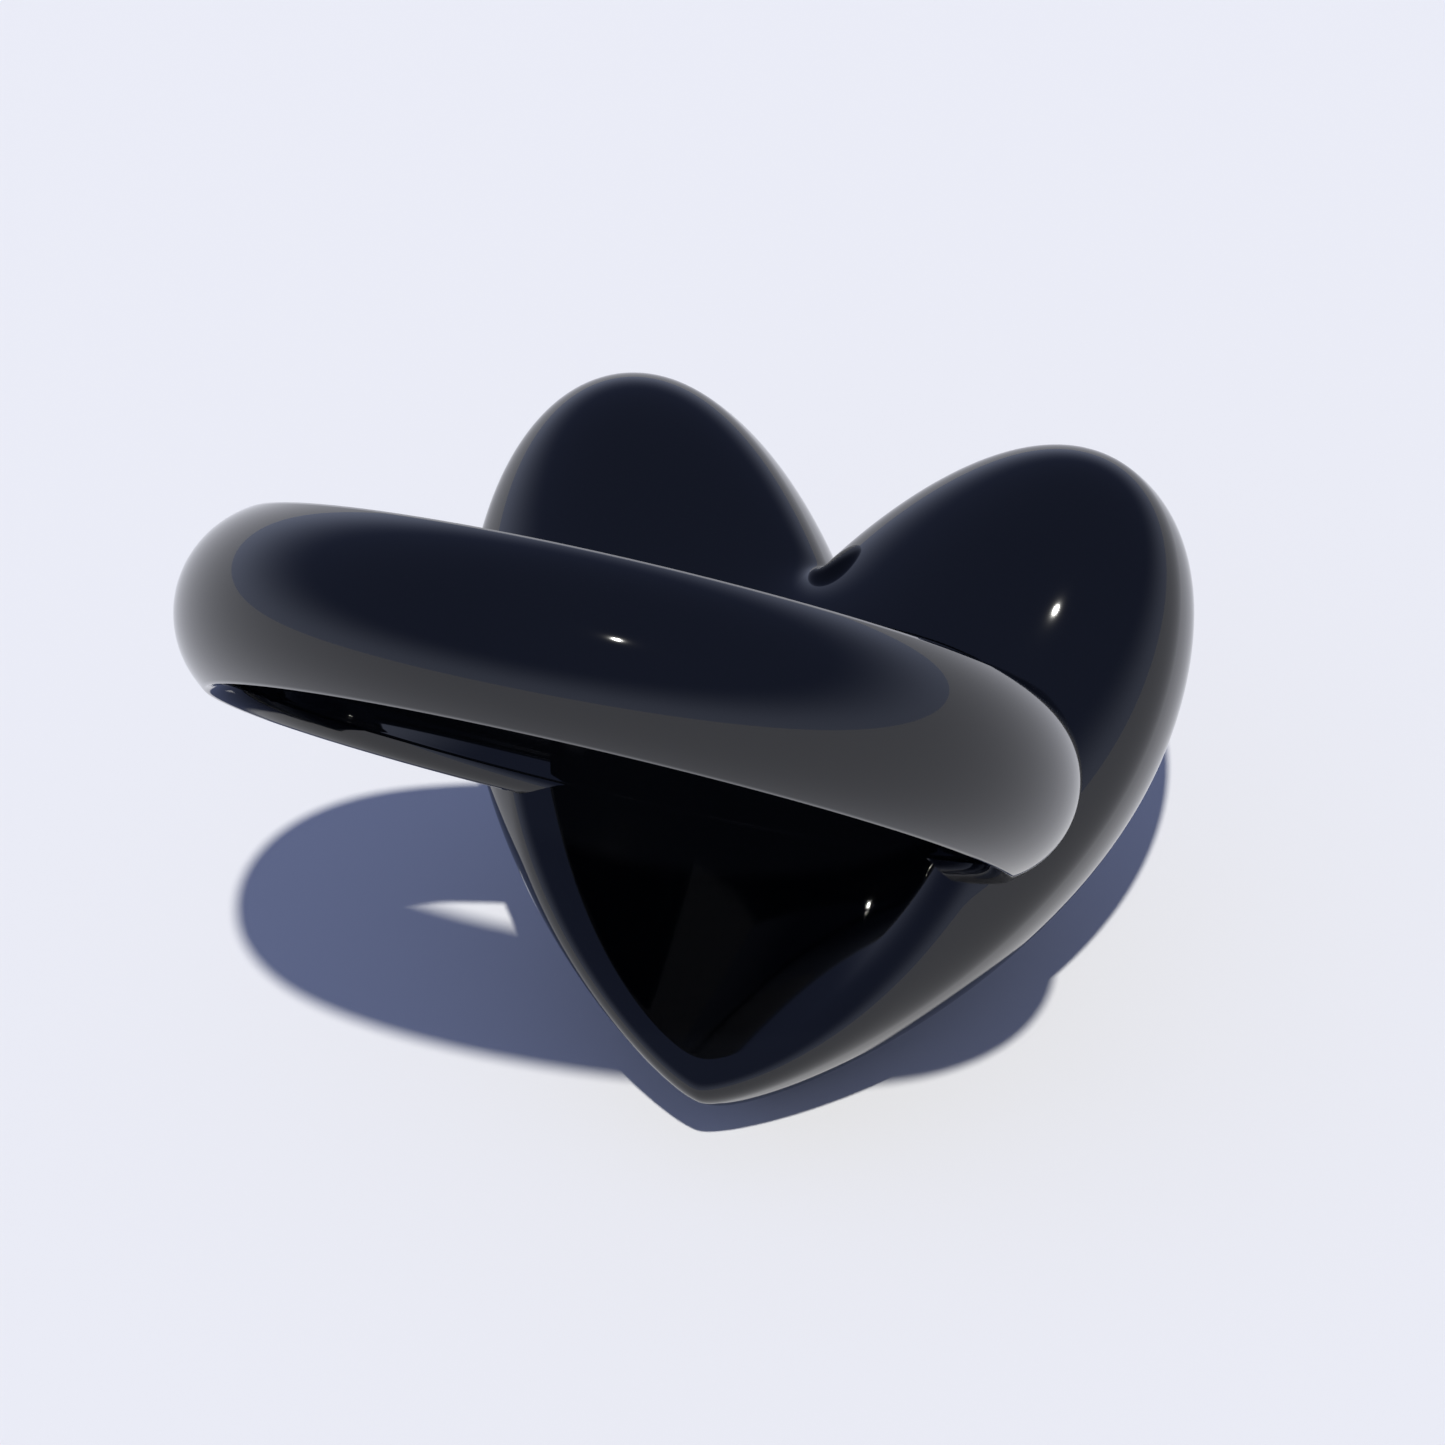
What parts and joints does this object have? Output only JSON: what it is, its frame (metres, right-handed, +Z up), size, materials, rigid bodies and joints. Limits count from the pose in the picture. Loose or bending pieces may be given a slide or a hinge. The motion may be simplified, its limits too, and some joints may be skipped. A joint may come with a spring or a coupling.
{
  "type": "heart finger ring",
  "caption": "Finger ring with a puffed heart head in gloss black and a closed D-section hoop, lying heart down.",
  "frame": {"origin": "centre of the finger bore, on its axis", "axes": "+Z up from the surface the ring lies on; +X across the heart; the finger bore runs along +Y, tipped up by the angle at which the ring rests, with the heart's notch on the +Y side"},
  "size_m": [0.0202, 0.0208, 0.0223],
  "materials": {
    "hoop_gloss": "polished",
    "heart_gloss": "polished",
    "pin_brass": "drawn"
  },
  "bodies": {
    "root": {"finger_hoop": "hoop_gloss", "heart_front": "heart_gloss", "heart_back": "heart_gloss", "locating_pins": "pin_brass"}
  },
  "joints": []
}
